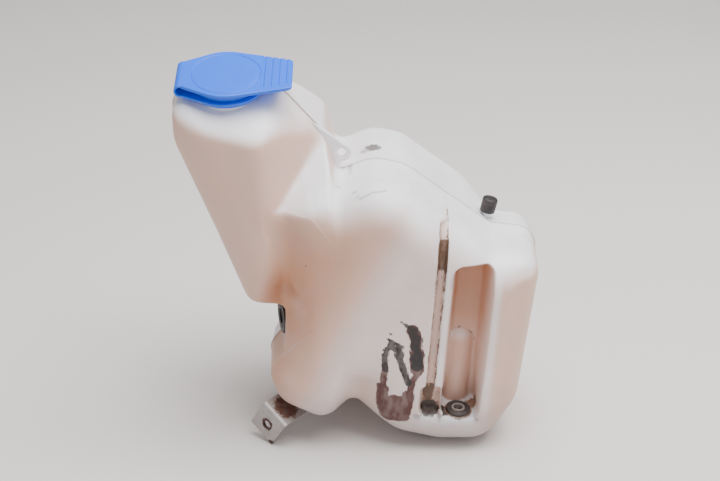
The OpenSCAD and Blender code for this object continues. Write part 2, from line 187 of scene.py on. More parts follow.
def walked(path, count, finer):
    """A closed path walked in a number of steps, which are shorter where finer(x, z) is larger."""
    closed = np.vstack([path, path[:1]])
    run = np.concatenate([[0], np.cumsum(np.linalg.norm(np.diff(closed, axis=0), axis=1))])
    fine = np.linspace(0, run[-1], 6000)
    x, z = np.interp(fine, run, closed[:, 0]), np.interp(fine, run, closed[:, 1])
    share = np.concatenate([[0], np.cumsum(finer(x, z)[1:])])
    at = np.interp(np.linspace(0, share[-1], count, endpoint=False), share, fine)
    return np.stack([np.interp(at, fine, x), np.interp(at, fine, z)], -1)


def outward(path):
    """Normals of a closed counter-clockwise path, in its plane."""
    along = unit(np.roll(path, -1, 0) - np.roll(path, 1, 0))
    return np.stack([along[:, 1], -along[:, 0]], -1)


def off_fold(x, z):
    """Distance to the right of the body's fold, a slanting line that starts at its top."""
    return (x - fold_x) * np.cos(fold_lean) - (z - body_top) * np.sin(fold_lean)


def front_depth(x, z):
    """Depth of the front over the seam: a ridged tower under a sloping brow and a steeper shoulder, a body
    with a chamfer left of its fold, soft valleys between."""
    ridge_x, ridge_d, ledge_z, ledge_d = -68.0, 50.0, 191.0, 24.0
    e = x - ridge_x - 6 * ease((tower_top - z) / (tower_top - tower_foot_z))
    brow = soft_min(9.5 + (tower_top - z) / np.tan(neck_tilt), 25 + 1.3 * (deck_z - z), 6)
    shoulder = 1.82 * (-50 - x) + 1.58 * (deck_z - z)
    ridge = soft_min(ridge_d + 0.25 * e, ridge_d - 1.2 * e, 8)
    tower = soft_min(ridge, soft_min(brow, shoulder, 6), 8)
    body = soft_min(front_d, front_d + 0.3 * off_fold(x, z), 14)
    body = soft_min(body, ledge_d + 1.8 * (ledge_z + 0.6 * (x - ridge_x) - z), 10)
    depth = soft_max(tower, body, 6)
    for start, end, width, sink in (
        ((ridge_x + 18, ledge_z - 22), (seat_x + 2, sensor_z + 17), 12, 12),
        ((seat_x + 2, sensor_z + 34), (seat_x, sensor_z + 4), 14, 16),
        ((notch_x, notch_z - 10), (notch_x + 6, notch_z + 26), 13, 12),
        ((half_w - 14, shoulder_z - 14), (half_w - 28, 48), 7, 4),
    ):
        depth = depth - sink * np.exp(-((off_line(x, z, start, end) / width) ** 2))
    return depth


def back_depth(x, z):
    """Depth of the back behind the seam: deep behind the body, less at the right shoulder and the tower."""
    deep = shoulder_back_d + (back_d - shoulder_back_d) * ease((shoulder_x + 6 - x) / 26)
    return deep - (back_d - tower_back_d) * ease((tower_right - x) / 40)


recess_x, recess_top, recess_foot, recess_w, recess_d = 83.0, 155.0, 31.0, 27.0, 30.0
lean = np.radians(3.7)
recess_len = recess_top - recess_foot
cradle_r, cradle_rise, cradle_h, cradle_x = 11.0, 7.0, 50.0, -3.0
groove_u, groove_r, groove_top, groove_d = -23.5, 3.2, 31.0, 5.0
pocket_u, pocket_w, pocket_h, pocket_d = -21.5, 17.0, 26.0, 12.0
hollow_corner_r, steep = 6.0, 1.6
lip_r, lip_left, lip_right = 8.0, -35.5, 16.0


def in_recess(x, z):
    """Places in the recess's own leaning frame: u across it, v up from its top edge."""
    dx, dz = x - recess_x, z - recess_top
    return dx * np.cos(lean) - dz * np.sin(lean), dx * np.sin(lean) + dz * np.cos(lean)


def inside_box(u, v, half_u, half_v, r):
    """How far a point lies inside a rectangle with round corners, negative outside it."""
    a, b = np.abs(u) - half_u + r, np.abs(v) - half_v + r
    return r - np.hypot(np.maximum(a, 0), np.maximum(b, 0)) - np.minimum(np.maximum(a, b), 0)


def recess_share(u, v, grow):
    """1 on the recess's floor, 0 outside it. Its walls slope over a few millimetres, its ledge is steep."""
    half_u, half_v = recess_w / 2 + grow, recess_len / 2 + grow
    inside = inside_box(u, v + recess_len / 2, half_u, half_v, hollow_corner_r)
    slope = steep + 5.4 * ease((v + recess_len) / 40)
    return ease((inside + 0.35 * slope) / slope)


def pocket_share(u, v, grow):
    """The same for the hose's pocket beside the recess's foot."""
    half_u, half_v = pocket_w / 2 + grow, pocket_h / 2 + grow
    inside = inside_box(u - pocket_u, v + recess_len - pocket_h / 2, half_u, half_v, hollow_corner_r)
    slope = steep + 3.0 * ease((v + recess_len) / 12)
    return ease((inside + 0.35 * slope) / slope)


def pressed(depth, x, z, grow):
    """The front's depth with lip, hose groove, pocket and pump recess pressed in. The cradle is half a
    cylinder with a domed top."""
    u, v = in_recess(x, z)
    below = np.clip(-recess_len - v, 0, lip_r)
    lip = lip_r - np.sqrt(lip_r ** 2 - (lip_r - below) ** 2)
    depth = depth - lip * ease((u - lip_left) / 5) * ease((lip_right - u) / 5) * (v < -recess_len + 1)
    groove = ease((groove_r + 0.6 + grow - np.abs(u - groove_u)) / 2.0) * ease((groove_top - v) / 5)
    depth = depth - groove_d * groove * ease((v + recess_len - pocket_h + 4) / 5)
    share = pocket_share(u, v, grow)
    depth = depth * (1 - share) + np.minimum(depth, front_d - pocket_d - grow) * share
    above = np.maximum(v + recess_len - cradle_h, 0)
    dome = np.sqrt(np.maximum(cradle_r ** 2 - (u - cradle_x) ** 2 - above ** 2, 0)) - (cradle_r - cradle_rise)
    bottom = front_d - recess_d - grow + soft_max(dome, 0 * dome, 2.5)
    share = recess_share(u, v, grow)
    return depth * (1 - share) + np.minimum(depth, bottom) * share


def half_shell(count, shares, front, drawn, close=None):
    """One half of the shell: rows of points from the seam up its wall, over the rounding and in to the hub.
    The height is depth times a rounding, (full - r + sqrt(r^2 - (r - d)^2)) / full, where full is the half's
    full depth and d the distance from the outline. A shell drawn in by the wall's thickness loses that times
    sqrt(1 + slope^2) of its depth. The front gets close rows on the pump's ledge, by a Catmull-Rom curve
    through their neighbours."""
    corner_steps, smoothings, slope_step, most_loss = 14, 14, 0.5, 4
    outline = rounded_outline(seam_corners, corner_steps)
    edge = outline - outward(outline) * (drawn + draft)
    closeness = (lambda x, z: 0.75 + 2.2 * ease((x - 15) / 30)) if front else (lambda x, z: 1 + 0 * x)
    loop = walked(outline, count, closeness)
    normal = outward(loop)
    rim = loop - normal * (drawn + draft)
    rows = rim + (hub - rim) * shares[:, None, None]
    x, z = rows[..., 0], rows[..., 1]
    near = np.full(x.shape, 1e3)
    for a, b in zip(edge, np.roll(edge, -1, 0)):
        near = np.minimum(near, off_line(x, z, a, b))
    near[0] = 0
    full, r = (front_d, front_r) if front else (back_d, back_r)
    depth_of = front_depth if front else back_depth
    depth = depth_of(x, z)
    rise_x, rise_z = depth_of(x + slope_step, z) - depth, depth_of(x, z + slope_step) - depth
    slope = np.hypot(rise_x, rise_z) / slope_step
    depth = depth - drawn * np.minimum(most_loss, np.sqrt(1 + slope ** 2))
    height = (full - r + np.sqrt(np.maximum(r * r - (r - np.minimum(near, r)) ** 2, 0))) / full * depth
    for _ in range(smoothings):
        side = (np.roll(height, 1, 1) + np.roll(height, -1, 1))[1:-1]
        height[1:-1] = 0.5 * height[1:-1] + 0.125 * (side + height[:-2] + height[2:])
    if front:
        at = np.searchsorted(shares, close) - 1
        t = ((close - shares[at]) / (shares[at + 1] - shares[at]))[:, None]
        a, b, c, d = (height[at + k] for k in (-1, 0, 1, 2))
        finer = b + 0.5 * t * (c - a + t * (2 * a - 5 * b + 4 * c - d + t * (3 * (b - c) + d - a)))
        order = np.argsort(np.concatenate([shares, close]))
        rows = np.concatenate([rows, rim + (hub - rim) * close[:, None, None]])[order]
        height = pressed(np.concatenate([height, finer])[order], rows[..., 0], rows[..., 1], drawn)
    up = np.concatenate([[0, 0.012, 0.03], np.linspace(0.08, 0.94, 11)])[:, None]
    bead = bead_out * np.array([1, 0.6, 0.1] + [0] * 11)[:, None, None] * (drawn == 0)
    side_rows = loop - normal * (drawn + draft * up[..., None] - bead)
    flat = np.concatenate([side_rows, rows])
    heights = np.concatenate([up * height[0], height])
    return np.stack([flat[..., 0], seam_y + (-heights if front else heights), flat[..., 1]], -1)


def sheet_faces(rows, columns, turned):
    """Faces of a closed band of points in rows and columns, with a fan that closes it at one more point."""
    index = np.arange(rows * columns).reshape(rows, columns)
    beside = np.roll(index, -1, 1)
    quads = np.stack([index[:-1], beside[:-1], beside[1:], index[1:]], -1).reshape(-1, 4)
    fan = np.stack([index[-1], beside[-1], np.full(columns, rows * columns)], -1)
    return (quads[:, ::-1], fan[:, ::-1]) if turned else (quads, fan)


def by_axis(points, start, axis):
    """Along and across: how far points lie along an axis from its start, and how far from the axis."""
    axis = unit(axis)
    along = (points - start) @ axis
    return along, np.linalg.norm(points - start - along[..., None] * axis, axis=-1)


neck_at = np.array([-93.0, seam_y - 3, deck_z])
neck_axis = np.array([0, -np.sin(neck_tilt), np.cos(neck_tilt)])
neck_bore_r = 19.6
sensor_at = np.array([seat_x + 1.2, seam_y - 12, sensor_z])
sensor_turn, sensor_seat_r, sensor_seat_h = np.radians(14), 14.5, 25
sensor_axis = np.array([-np.cos(sensor_turn), -np.sin(sensor_turn), 0])
pump_out = 10.5
pump_depth = front_d - recess_d + cradle_rise + pump_out
pump_at = np.array([
    recess_x - recess_len * np.sin(lean), seam_y - pump_depth, recess_top - recess_len * np.cos(lean)])
pump_axis = np.array([np.sin(lean), 0, np.cos(lean)])
bracket_at = np.array([-63.5, -58 + seam_y, 27.8])
yaw, roll = np.radians(-128.5), np.radians(-32)
bracket_x = np.array([np.cos(yaw), np.sin(yaw), 0])
bracket_z = np.array([np.sin(roll) * np.sin(yaw), -np.sin(roll) * np.cos(yaw), np.cos(roll)])
bracket_y = np.cross(bracket_z, bracket_x)
seat_back, seat_front, seat_side = -42, 30, 13


def seated(points):
    """The shell's points with the flat seats for the sensor ring and the bracket cut into it."""
    along, across = by_axis(points, sensor_at, sensor_axis)
    sink = np.where((across < sensor_seat_r) & (along > 0) & (along < sensor_seat_h), along, 0)
    points = points - sink[..., None] * sensor_axis
    away = points - bracket_at
    x, y, z = away @ bracket_x, away @ bracket_y, away @ bracket_z
    under = (x > seat_back) & (x < seat_front) & (np.abs(y) < seat_side) & (z < 0)
    return points - np.where(under, z, 0)[..., None] * bracket_z


def shell_mesh(name, points, turned):
    """A mesh of one half shell: seats cut, a fan at the hub, no faces inside the neck and the holes for
    sensor and pump, whose rims are pushed out to their circles. Each hole is a start, an axis, a radius and
    how far it reaches down and up the axis."""
    rows, columns = points.shape[:2]
    points = seated(points)
    flat = np.vstack([points.reshape(-1, 3), points[-1].mean(0)])
    quads, fan = sheet_faces(rows, columns, turned)
    holes = (
        (neck_at, neck_axis, neck_bore_r + 1.0, -14, 14),
        (sensor_at, sensor_axis, 8.0, -9, 6),
        (pump_at, pump_axis, 6.0, -9, 4))
    open_at = np.zeros(len(flat), bool)
    for start, axis, r, low, high in holes:
        along, across = by_axis(flat, start, axis)
        open_at |= (across < r) & (along > low) & (along < high)
    kept = quads[~open_at[quads].all(1)]
    rim = np.unique(kept)
    for start, axis, r, low, high in holes:
        along, across = by_axis(flat, start, axis)
        inside = rim[(across[rim] < r) & (along[rim] > low) & (along[rim] < high)]
        foot = start + along[inside, None] * axis
        flat[inside] = foot + (flat[inside] - foot) * (r / across[inside])[:, None]
    mesh = bpy.data.meshes.new(name)
    mesh.from_pydata((flat * MM).tolist(), [], kept.tolist() + fan.tolist())
    mesh.shade_smooth()
    return mesh, flat


def piece(name, mesh, material, body, slot, *nodes):
    """An object from a mesh: its material, the body it rides on and the nodes it stands for. Its slot is not
    used.
    """
    made = bpy.data.objects.new(name, mesh)
    bpy.context.scene.collection.objects.link(made)
    mesh.materials.append(material)
    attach(made, body)
    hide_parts(*nodes)
    return made


def give(mesh, name, values):
    """A float attribute on a mesh's points, for its material to read."""
    added = mesh.attributes.new(name, "FLOAT", "POINT")
    added.data.foreach_set("value", np.asarray(values, np.float32).ravel())


def upright(mesh):
    """How upright a mesh's surface stands: 0 where it faces up, 1 where it faces sideways or down."""
    normal = np.empty(3 * len(mesh.vertices), np.float32)
    mesh.vertices.foreach_get("normal", normal)
    return ease((0.85 - normal.reshape(-1, 3)[:, 2]) / 0.7)


def strokes(x, z, trails, soft):
    """1 inside a set of trails, each a half width and two or more points, 0 outside, with a soft edge."""
    found = np.zeros(x.shape)
    for r, *points in trails:
        for a, b in zip(points, points[1:]):
            found = np.maximum(found, np.clip(0.5 + (r - off_line(x, z, a, b)) / soft, 0, 1))
    return found


def node_group(name, inputs, outputs):
    """A new node group with its sockets, each a name and a type, its inputs and its object coordinates."""
    group = bpy.data.node_groups.new(name, "ShaderNodeTree")
    for way, sockets in (("INPUT", inputs), ("OUTPUT", outputs)):
        for socket, socket_type in sockets.items():
            group.interface.new_socket(socket, in_out=way, socket_type=socket_type)
    return group, put(group, "NodeGroupInput").outputs, put(group, "ShaderNodeTexCoord").outputs["Object"]


def ranged(tree, value, low, high, least, most):
    """A value stretched from the range low to high to the range least to most."""
    return put(tree, "ShaderNodeMapRange", {
        "Value": value, "From Min": low, "From Max": high, "To Min": least, "To Max": most}).outputs["Result"]


def moulded_skin():
    """Node group: the fine orange peel and the slow waviness of a moulded skin, as a height and as a change
    of tone."""
    number = "NodeSocketFloat"
    group, asked, where = node_group(
        "moulded_skin", {"Peel Scale": number, "Wave Scale": number}, {"Height": number, "Tone": number})
    peel = put(group, "ShaderNodeTexNoise", {"Vector": where, "Scale": asked["Peel Scale"], "Detail": 3.0})
    wave = put(group, "ShaderNodeTexNoise", {"Vector": where, "Scale": asked["Wave Scale"], "Detail": 2.0})
    height = put(group, "ShaderNodeMath", {0: wave.outputs["Fac"], 1: 0.75, 2: peel.outputs["Fac"]},
                 operation="MULTIPLY_ADD")
    put(group, "NodeGroupOutput", {"Height": height.outputs["Value"], "Tone": wave.outputs["Fac"]})
    return group


def fleck_cover():
    """Node group: breaks a soft mask up into flecks and runs, as dried dirt and as the painted shadow at the
    bracket's root: 1 where it lies.
    """
    number = "NodeSocketFloat"
    group, asked, where = node_group(
        "fleck_cover", {"Mask": number, "Fleck Scale": number, "Ragged": number, "Run": "NodeSocketVector"},
        {"Cover": number})
    run = put(group, "ShaderNodeVectorMath", {0: where, 1: asked["Run"]}, operation="MULTIPLY")
    fleck = put(group, "ShaderNodeTexNoise", {
        "Vector": run.outputs["Vector"], "Scale": asked["Fleck Scale"], "Detail": 6.0, "Roughness": 0.65})
    off = put(group, "ShaderNodeMath", {0: fleck.outputs["Fac"], 1: 0.5}, operation="SUBTRACT")
    torn = put(group, "ShaderNodeMath", {0: off.outputs["Value"], 1: asked["Ragged"], 2: asked["Mask"]},
               operation="MULTIPLY_ADD")
    cover = put(group, "ShaderNodeMapRange", {
        "Value": torn.outputs["Value"], "From Min": 0.42, "From Max": 0.62}, interpolation_type="SMOOTHSTEP")
    grain = put(group, "ShaderNodeTexNoise", {"Vector": run.outputs["Vector"], "Scale": 230.0, "Detail": 3.0})
    thin = ranged(group, grain.outputs["Fac"], 0.35, 0.6, 0.85, 1)
    laid = put(group, "ShaderNodeMath", {0: cover.outputs["Result"], 1: thin}, operation="MULTIPLY")
    put(group, "NodeGroupOutput", {"Cover": laid.outputs["Value"]})
    return group


def spot():
    """Node group: 1 within an inner distance of a point, falling to 0 at an outer distance."""
    number = "NodeSocketFloat"
    group, asked, where = node_group(
        "spot", {"Centre": "NodeSocketVector", "Inner": number, "Outer": number}, {"Mask": number})
    away = put(group, "ShaderNodeVectorMath", {0: where, 1: asked["Centre"]}, operation="DISTANCE")
    mask = ranged(group, away.outputs["Value"], asked["Inner"], asked["Outer"], 1, 0)
    put(group, "NodeGroupOutput", {"Mask": mask})
    return group


skin_group, fleck_group, spot_group = moulded_skin(), fleck_cover(), spot()


def skinned(tree, shader, peel, wave, strength, distance):
    """A moulded skin on a shader, as a bump. Gives the skin's change of tone."""
    skin = put(tree, "ShaderNodeGroup", {"Peel Scale": peel, "Wave Scale": wave}, node_tree=skin_group)
    bump = put(tree, "ShaderNodeBump", {
        "Height": skin.outputs["Height"], "Strength": strength, "Distance": distance})
    tree.links.new(bump.outputs["Normal"], shader.inputs["Normal"])
    return skin.outputs["Tone"]


def flecked(tree, mask, scale, ragged, run):
    """How far the flecks cover the places of a mask: dried dirt, and the painted shadow at the bracket's
    root.
    """
    return put(tree, "ShaderNodeGroup", {"Mask": mask, "Fleck Scale": scale, "Ragged": ragged, "Run": run},
               node_tree=fleck_group).outputs["Cover"]


def spotted(tree, centre, inner, outer, ragged):
    """The same round one point in the part's frame."""
    fleck_scale, any_way = 420, (1, 1, 1)
    mask = put(tree, "ShaderNodeGroup", {"Centre": tuple(centre * MM), "Inner": inner, "Outer": outer},
               node_tree=spot_group).outputs["Mask"]
    return flecked(tree, mask, fleck_scale, ragged, any_way)


def over(tree, under, colour, share):
    """One colour laid over another by a share. The mix node's colours are inputs 6 and 7 and output 2."""
    mixed = put(tree, "ShaderNodeMix", {"Factor": share}, data_type="RGBA")
    for socket, value in ((mixed.inputs[6], under), (mixed.inputs[7], colour)):
        if isinstance(value, bpy.types.NodeSocket):
            tree.links.new(value, socket)
        else:
            socket.default_value = value
    return mixed.outputs[2]


tank_plastic, tree, shader = fresh_material("natural_polyethylene")
read = {name: put(tree, "ShaderNodeAttribute", attribute_name=name).outputs["Fac"]
        for name in ("painted_hollow_shade", "painted_side_shade", "tar", "umber", "scuffs_and_hollow_darkening", "line")}
tone = skinned(tree, shader, 900, 45, 0.12, 0.0006)
milky, side_shade_pink, hollow_shade_amber = linear(246, 246, 249), linear(226, 188, 170), linear(204, 146, 112)
cloudy, line_and_low_shade_grey = linear(196, 182, 176), linear(120, 112, 110)
# Painted shade with a pink painted reflection, on faces that stand upright or face down.
colour = over(tree, milky, side_shade_pink, read["painted_side_shade"])
# Painted shade in amber, in the hollows and on faces turned from the light.
colour = over(tree, colour, hollow_shade_amber, read["painted_hollow_shade"])
colour = over(tree, colour, cloudy, ranged(tree, tone, 0.3, 0.7, 0, 0.22))
# Grey for the seam line and the crack, and painted shade that grows towards the bottom.
colour = over(tree, colour, line_and_low_shade_grey, read["line"])
for name, scale, ragged, run, shade in (
    ("scuffs_and_hollow_darkening", 520, 1.4, (1, 1, 0.45), linear(98, 72, 54)),
    ("umber", 620, 1.5, (1, 1, 0.4), linear(78, 34, 29)),
    ("tar", 760, 1.7, (1, 1, 0.5), linear(27, 20, 21)),
):
    colour = over(tree, colour, shade, flecked(tree, read[name], scale, ragged, run))
for centre, inner, outer, shade in (
    (pump_at + [-11, -3, 0.5], 0.002, 0.009, linear(54, 44, 40)),
    (pump_at + [10, 7, 3], 0.003, 0.01, linear(132, 98, 78)),
    (pump_at, 0.0085, 0.0125, linear(120, 92, 78)),
    (np.array([53, seam_y - 57, 33]), 0.004, 0.012, linear(60, 46, 40)),
    (np.array([11, 19, 213]), 0.002, 0.011, linear(116, 110, 108)),
    (np.array([4, 14, 212]), 0.001, 0.007, linear(196, 190, 188)),
):
    colour = over(tree, colour, shade, spotted(tree, centre, inner, outer, 0.8))
tree.links.new(colour, shader.inputs["Base Color"])
shader.inputs["Roughness"].default_value = 0.42
shader.inputs["Subsurface Weight"].default_value = 0.35
shader.inputs["Subsurface Radius"].default_value = (1.0, 0.8, 0.7)
shader.inputs["Subsurface Scale"].default_value = 0.004

front_count, back_count = 640, 420
front_rows = np.concatenate([
    0.06 * np.linspace(0, 1, 16) ** 2, np.linspace(0.06, 0.55, 62)[1:], np.linspace(0.55, 0.97, 18)[1:]])
ledge_rows, inner_ledge_rows = np.linspace(0.19, 0.245, 36), np.linspace(0.16, 0.215, 36)
front_shell = half_shell(front_count, front_rows, True, 0.0, ledge_rows)
front_mesh, front_points = shell_mesh("tank_front", front_shell, False)
x, depth, z = front_points[:, 0], seam_y - front_points[:, 1], front_points[:, 2]
u, v = in_recess(x, z)
in_pump = recess_share(u, v, 0) * (v < 3)
in_pocket = pocket_share(u, v, 0)
fold = off_fold(x, z)
chamfer = ease((14 - fold) / 30) * ease((fold + 70) / 50) * ease((205 - z) / 50) * ease((z - 20) / 50)
valley = np.exp(-((off_line(x, z, (-50, 178), (-54, 104)) / 15) ** 2))
notch = np.exp(-((off_line(x, z, (notch_x, notch_z - 10), (notch_x + 8, notch_z + 22)) / 14) ** 2))
left_foot = ease((-16 - x) / 20) * ease((84 - z) / 20)
upper = in_pump * ease((v + recess_len - cradle_h) / 34)
groove = ease((groove_r + 0.8 - np.abs(u - groove_u)) / 1.5) * ease((groove_top - v) / 4)
groove = groove * ease((v + recess_len) / 10)
ribs = np.exp(-(((np.abs(u) - 18.5) / 2.6) ** 2)) * ease((6 - v) / 8) * ease((v + recess_len) / 12)
# Painted shade in amber: the deep upper part of the pump recess, the recess, pocket and groove, the chamfer
# left of the fold, the valleys, the notch and the left foot.
give(front_mesh, "painted_hollow_shade", np.clip(
    0.75 * upper + 0.2 * in_pump + 0.7 * in_pocket + 0.8 * chamfer
    + 0.45 * valley + 0.4 * notch + 0.2 * left_foot + 0.5 * groove, 0, 1))
# Painted shade with a pink painted reflection on faces that stand upright or face down. It is weaker on the
# lit lip under the recess, on the rims beside the recess, right of the fold and low down.
pale_lip = ease((-recess_len + 2 - v) / 7) * ease((v + recess_len + 17) / 10)
pale_lip = pale_lip * ease((u + 38) / 12) * ease((20 - u) / 12)
pale = np.clip(ease((fold - 4) / 26) + 0.6 * ease((60 - z) / 40), 0, 1) * ease((106 - x) / 20) * (1 - in_pump)
give(front_mesh, "painted_side_shade", upright(front_mesh) * (1 - 0.5 * pale_lip) * (1 - 0.6 * ribs) * (1 - 0.5 * pale))
tar_trails = (
    (0.7, (23.4, 104.7), (21.2, 102.9), (22, 99.5)),
    (2.4, (24, 97.3), (19.4, 86.1), (20, 74)),
    (1.8, (24.5, 97), (27, 91), (27, 87)),
    (2.6, (30, 94.6), (31.3, 80.5), (36.9, 62.3)),
    (1.2, (32.1, 114.2), (36, 110)),
    (3.6, (39, 107.5), (41.6, 101), (41, 94)),
    (4.4, (43, 87), (43, 77)),
    (0.7, (-37, 153), (-36.6, 152.6)))
give(front_mesh, "tar", strokes(x, z, tar_trails, 2.4))
umber_trails = (
    (4.8, (39.5, 107.5), (42.5, 100), (42, 93)),
    (5.4, (43, 88), (43, 75)),
    (2.6, (46, 74), (41, 66), (38, 55)),
    (2.6, (20, 78), (18, 57)),
    (4.6, (18, 57), (17.5, 43)),
    (6.0, (20, 40), (22, 31)),
    (5.5, (28, 37), (28.5, 32)),
    (4.6, (37.2, 52), (36, 42)),
    (5.4, (34, 37), (33, 33)),
    (4.5, (26, 48), (27, 42)),
    (4.0, (31, 48), (33, 42)))
give(front_mesh, "umber", strokes(x, z, umber_trails, 3.2))
# Scuffs on the tower, and darker brown flecks in the hose groove, along its edges, in the pocket and along
# the edge of the cradle's dome.
groove_darkening = ease((groove_r + 1.2 - np.abs(u - groove_u)) / 2) * ease((v + 6) / 10) * ease((20 - v) / 4)
groove_edge = np.exp(-(((np.abs(u - groove_u) - groove_r) / 0.8) ** 2)) * ease((groove_top + 1 - v) / 4)
groove_edge = groove_edge * ease((v + recess_len - 10) / 10)
dome_out = np.hypot(u - cradle_x, np.maximum(v + recess_len - cradle_h, 0)) - cradle_r
dome_line = np.exp(-(((dome_out - 0.8) / 1.6) ** 2))
dome_line = dome_line * in_pump * ease((v + recess_len - cradle_h + 6) / 10)
scuff_trails = (
    (1.4, (-107, 217), (-104, 208)),
    (1.1, (-97, 206), (-94, 199)),
    (1.3, (-70, 246), (-62, 240)),
    (0.9, (-88, 236), (-84, 222)))
scuff = strokes(x, z, scuff_trails, 2.6)
give(front_mesh, "scuffs_and_hollow_darkening", np.clip(
    0.4 * scuff + 0.75 * groove_darkening + 0.45 * groove_edge + 0.3 * groove
    + 0.42 * in_pocket + 0.5 * dome_line, 0, 1))
crack = strokes(x, z, ((0.3, (-9, 209), (1, 203.5), (10, 208), (19, 208.6)),), 0.5)
# The seam line and the crack, with painted shade that grows towards the bottom.
give(front_mesh, "line", np.clip(0.55 * (depth < 0.6) + 0.7 * crack + 0.4 * ease((70 - z) / 60), 0, 1))
piece("tank_front", front_mesh, tank_plastic, "reservoir", "tank_plastic", "tank")

back_rows = np.concatenate([
    0.05 * np.linspace(0, 1, 14) ** 2, np.linspace(0.05, 0.5, 34)[1:], np.linspace(0.5, 0.97, 14)[1:]])
back_mesh, back_points = shell_mesh("tank_back", half_shell(back_count, back_rows, False, 0.0), True)
depth, z = back_points[:, 1] - seam_y, back_points[:, 2]
# Painted shade with a pink painted reflection on the back's upright faces.
give(back_mesh, "painted_side_shade", 0.8 * upright(back_mesh))
# The seam line, with painted shade that grows towards the bottom.
give(back_mesh, "line", np.clip(0.55 * (depth < 0.6) + 0.3 * ease((70 - z) / 60), 0, 1))
piece("tank_back", back_mesh, tank_plastic, "reservoir", "tank_plastic", "tank")

for name, inner_shell, turned in (
    ("tank_inside_front", half_shell(front_count, front_rows, True, wall, inner_ledge_rows), True),
    ("tank_inside_back", half_shell(back_count, back_rows, False, wall), False),
):
    inner_mesh, _ = shell_mesh(name, inner_shell, turned)
    piece(name, inner_mesh, tank_plastic, "reservoir", "tank_plastic", "tank")

# Neck, vent spigot and ear: moulded in one with the tank. The cap's collar grips the neck, the spigot lets
# air out on the right shoulder, and the ear is a flat web in the seam that ends in an eyelet.
neck_r, neck_h, neck_root = 22.0, 13.0, 10.0
spigot_bore_r, spigot_r, spigot_root_r, spigot_h = 1.8, 3.5, 6.0, 11.5
vent_lean = np.radians(12)
vent_at = np.array([95.5, 8 + seam_y, shoulder_z])
vent_axis = np.array([np.sin(vent_lean), 0, np.cos(vent_lean)])
ear_at, ear_r, ear_hole_r, ear_t = np.array([-12.0, seam_y, 218.0]), 7.0, 3.3, 4.0
ear_web = np.array([[2, 6.6], [-22, 25], [-14, 14], [-6, -14], [-2, -17], [0, -7]])
round_turn = np.linspace(0, 2 * np.pi, 128, endpoint=False)


def spun(profile, start, axis, side, angles, reach=lambda r, t: r):
    """A profile of [r, h] points turned about an axis a from a side s, with R = reach(r, t):
    start + h a + R (s cos t + a x s sin t)."""
    axis, side = unit(np.array(axis, float)), np.array(side, float)
    spoke = side * np.cos(angles)[:, None] + np.cross(axis, side) * np.sin(angles)[:, None]
    r = reach(profile[:, :1] + 0 * angles, angles)
    return start + profile[:, None, 1:] * axis + r[..., None] * spoke


def mesh_of(name, points, ends=None):
    """A mesh of points in rows and columns, closed round its columns. Its last row joins its first, or, with
    two end points given, a fan closes each end."""
    rows, columns = points.shape[:2]
    index = np.arange(rows * columns).reshape(rows, columns)
    beside, above = np.roll(index, -1, 1), np.roll(index, -1, 0)
    quads = np.stack([index, beside, np.roll(above, -1, 1), above], -1)
    faces = (quads if ends is None else quads[:-1]).reshape(-1, 4).tolist()
    flat = points.reshape(-1, 3)
    if ends is not None:
        first = np.full(columns, len(flat))
        faces += np.stack([first, beside[0], index[0]], -1).tolist()
        faces += np.stack([first + 1, index[-1], beside[-1]], -1).tolist()
        flat = np.vstack([flat, ends])
    mesh = bpy.data.meshes.new(name)
    mesh.from_pydata((flat * MM).tolist(), [], faces)
    mesh.shade_smooth()
    return mesh


def evened(made):
    """Normals that follow the large faces, so that flats look flat beside their small roundings."""
    made.modifiers.new("even_normals", "WEIGHTED_NORMAL").weight = 80


def web_reach(r, angles):
    """The ear's edge from its eyelet: the hole, or the eyelet's circle where no edge of the web lies further
    out."""
    edge = np.full(angles.shape, ear_r)
    for a, b in zip(ear_web[:-1], ear_web[1:]):
        along = b - a
        start, end = (np.arctan2(z, x) % (2 * np.pi) for x, z in (a, b))
        within = (angles >= start) & (angles <= end)
        across = np.where(within, np.cos(angles) * along[1] - np.sin(angles) * along[0], 1)
        edge = np.where(within, np.maximum(edge, (a[0] * along[1] - a[1] * along[0]) / across), edge)
    return np.where(r < (ear_r + ear_hole_r) / 2, r, r - ear_r + edge)


neck_profile = rounded_outline(np.array([
    [neck_bore_r, -neck_root, 0.1], [neck_r, -neck_root, 0.1],
    [neck_r, neck_h, 0.8], [neck_bore_r, neck_h, 0.8]]), 4)
neck_mesh = mesh_of("neck", spun(neck_profile, neck_at, neck_axis, (1, 0, 0), round_turn))
evened(piece("neck", neck_mesh, tank_plastic, "reservoir", "tank_plastic", "tank"))
spigot_profile = rounded_outline(np.array([
    [spigot_bore_r, -6, 0.1], [spigot_root_r, -6, 0.1], [spigot_root_r, -1, 0.5],
    [spigot_r, 1.2, 2], [spigot_r, spigot_h, 0.4], [spigot_bore_r, spigot_h, 0.4]]), 4)
spigot_mesh = mesh_of("vent_spigot", spun(spigot_profile, vent_at, vent_axis, (0, 1, 0), round_turn))
evened(piece("vent_spigot", spigot_mesh, tank_plastic, "reservoir", "tank_plastic", "tank"))
ear_profile = rounded_outline(np.array([
    [ear_hole_r, -ear_t / 2, 1.0], [ear_r, -ear_t / 2, 0.9],
    [ear_r, ear_t / 2, 0.9], [ear_hole_r, ear_t / 2, 1.0]]), 5)
ear_turn = np.linspace(0, 2 * np.pi, 300, endpoint=False)
ear_mesh = mesh_of("ear", spun(ear_profile, ear_at, (0, -1, 0), (1, 0, 0), ear_turn, web_reach))
evened(piece("ear", ear_mesh, tank_plastic, "reservoir", "tank_plastic", "tank"))

